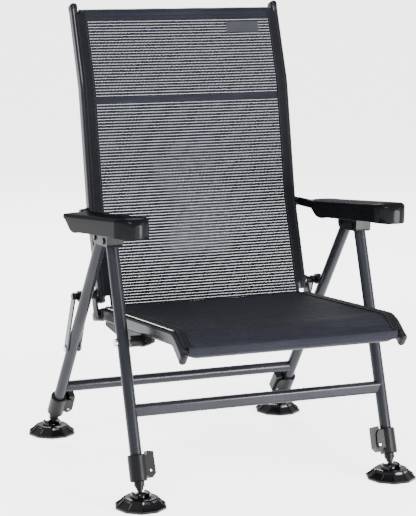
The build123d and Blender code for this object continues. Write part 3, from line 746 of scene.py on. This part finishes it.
LUG_R = 0.009
LUG_FRONT, LUG_TOP_REAR = 0.090, 0.060  # in front of the pivot
LUG_TOP, LUG_BOTTOM = 0.012, -0.005  # above the pivot
LUG_INNER, LUG_OUTER = 0.0043, 0.012  # from the armrest's inner side
for side_name, side in SIDES:
    joint = joints[f"armrest_lift_{side_name}"]["pos_m"]
    pivot = Vector((joint[1], joint[2]))
    low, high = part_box(f"armrest_{side_name}")
    inner, outer = sorted((abs(low.x), abs(high.x)))
    shell = armrest_shell(f"armrest_shell_{side_name}", side, pivot, inner, outer, low.y)
    lug_outline = [(pivot.x - LUG_FRONT, pivot.y + LUG_BOTTOM), *disc_points(pivot, LUG_R, -100, 100)]
    lug_outline += [(pivot.x - LUG_TOP_REAR, pivot.y + LUG_TOP), (pivot.x - LUG_FRONT, pivot.y + LUG_TOP)]
    lug_low, lug_high = sorted((side * (inner + LUG_INNER), side * (inner + LUG_OUTER)))
    lug = plate(f"armrest_lug_{side_name}", lug_outline, lug_low, lug_high, armrest_plastic)
    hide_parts(f"armrest_{side_name}")
    for piece in (shell, lug):
        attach(piece, f"armrest_{side_name}")


# ---- feet: ribbed, pocketed discs with two horns that cradle the ball -----------------------
SECTORS = 10
RIB_HALF, POCKET_WALL = 0.0015, 0.0012
POCKET_DEPTH = 0.0030
FACETS_START, FACETS_BLEND = 0.024, 0.012  # the disc is round inside this radius, then turns many-sided
# radius, height, and whether there are pockets between the ribs there
FOOT_RINGS = (
    (0.0500, 0.0018, 0), (0.0525, 0.0000, 0), (0.0546, 0.0008, 0), (0.0550, 0.0025, 0),
    (0.0547, 0.0052, 0), (0.0530, 0.0066, 0), (0.0512, 0.0078, 0), (0.0500, 0.0086, 1),
    (0.0455, 0.0118, 1), (0.0410, 0.0160, 1), (0.0378, 0.0190, 1), (0.0366, 0.0205, 0),
    (0.0345, 0.0218, 0), (0.0320, 0.0222, 0), (0.0235, 0.0226, 0), (0.0205, 0.0215, 0),
    (0.0150, 0.0206, 0), (0.0136, 0.0190, 0), (0.0126, 0.0150, 0), (0.0100, 0.0112, 0),
    (0.0050, 0.0095, 0),
)
BASE_HEIGHT, SOCKET_HEIGHT = 0.0030, 0.0092
HORN_R, HORN_CHORD, HORN_STEPS = 0.0205, 0.0125, 10
HORN_HOLLOW = 0.0006  # how far the flat side of a horn is hollowed towards its middle
# height of each level of a horn, and how far its outline is pulled in there
HORN_LEVELS = ((0.0190, -0.0010), (0.0245, 0), (0.0290, 0.0002), (0.0312, 0.0010), (0.0320, 0.0022))


def add_disc(points, faces, middle):
    """Adds the ribbed disc of a foot to a mesh that is still empty."""
    sector = 2 * math.pi / SECTORS
    for radius, height, pocket in FOOT_RINGS:
        faceted = max(0.0, min(1.0, (radius - FACETS_START) / FACETS_BLEND))
        rib, wall = RIB_HALF / radius, POCKET_WALL / radius
        pocket_angles = (rib + wall, sector / 3, sector * 2 / 3, sector - rib - wall)
        angles = (0, rib, *pocket_angles, sector - rib)
        for index in range(SECTORS):
            for angle in angles:
                flat = math.cos(sector / 2) / math.cos(angle - sector / 2)
                r = radius * (1 + (flat - 1) * faceted)
                z = height - POCKET_DEPTH * pocket * (angle in pocket_angles)
                turn = index * sector + angle
                points.append((middle.x + r * math.cos(turn), middle.y + r * math.sin(turn), z))
    size = len(angles) * SECTORS
    for i in range(len(FOOT_RINGS) - 1):
        for k in range(size):
            after = (k + 1) % size
            faces.append((i * size + k, i * size + after, (i + 1) * size + after, (i + 1) * size + k))
    base, tip = len(points), len(points) + 1
    points += [(middle.x, middle.y, BASE_HEIGHT), (middle.x, middle.y, SOCKET_HEIGHT)]
    last = (len(FOOT_RINGS) - 1) * size
    for k in range(size):
        after = (k + 1) % size
        faces.append((base, after, k))
        faces.append((tip, last + k, last + after))


def add_horn(points, faces, middle, side):
    """Adds one horn beside the ball, an arc closed by a chord."""
    start = len(points)
    for height, pull in HORN_LEVELS:
        radius, chord = HORN_R - pull, HORN_CHORD + pull
        reach = math.acos(chord / radius)
        for step in range(HORN_STEPS + 1):
            angle = -reach + 2 * reach * step / HORN_STEPS
            x, y = side * radius * math.cos(angle), side * radius * math.sin(angle)
            points.append((middle.x + x, middle.y + y, height))
        points.append((middle.x + side * (chord + HORN_HOLLOW), middle.y, height))
    size = HORN_STEPS + 2
    top = start + (len(HORN_LEVELS) - 1) * size
    for low in range(start, top, size):
        for k in range(size):
            after = (k + 1) % size
            faces.append((low + k, low + after, low + size + after, low + size + k))
    faces.append(tuple(start + k for k in range(size - 1, -1, -1)))
    faces.append(tuple(top + k for k in range(size)))


for pair in ("front", "rear"):
    for side_name, side in SIDES:
        node = f"{pair}_foot_{side_name}"
        ball = Vector(joints[f"{pair}_foot_roll_{side_name}"]["pos_m"])
        points, faces = [], []
        add_disc(points, faces, ball)
        for horn_side in (-1, 1):
            add_horn(points, faces, ball, horn_side)
        foot = new_piece(f"{pair}_ribbed_foot_{side_name}", points, faces, foot_plastic, 28)
        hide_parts(node)
        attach(foot, node)

# ---- floor: a pale plain ground, bright enough to have no edge behind the chair --------------
FLOOR_REACH = 50
FLOOR_GLOW = 3.0
floor_shader = Shader("studio_floor")
floor_shader.set(
    Roughness=0.9, Specular_IOR_Level=0.05, Emission_Color=(1, 1, 1, 1), Emission_Strength=FLOOR_GLOW
)
floor_shader.link(
    floor_shader.colours(floor_shader.noise(3, 2), (0.2, (0.9, 0.9, 0.9)), (0.8, (0.94, 0.94, 0.94))),
    "Base Color",
)
floor_corners = [(FLOOR_REACH * x, FLOOR_REACH * y, 0) for x, y in ((-1, -1), (1, -1), (1, 1), (-1, 1))]
floor_data = bpy.data.meshes.new("floor")
floor_data.from_pydata(floor_corners, [], [(0, 1, 2, 3)])
floor_data.materials.append(floor_shader.material)
floor = bpy.data.objects.new("floor", floor_data)
scene.collection.objects.link(floor)
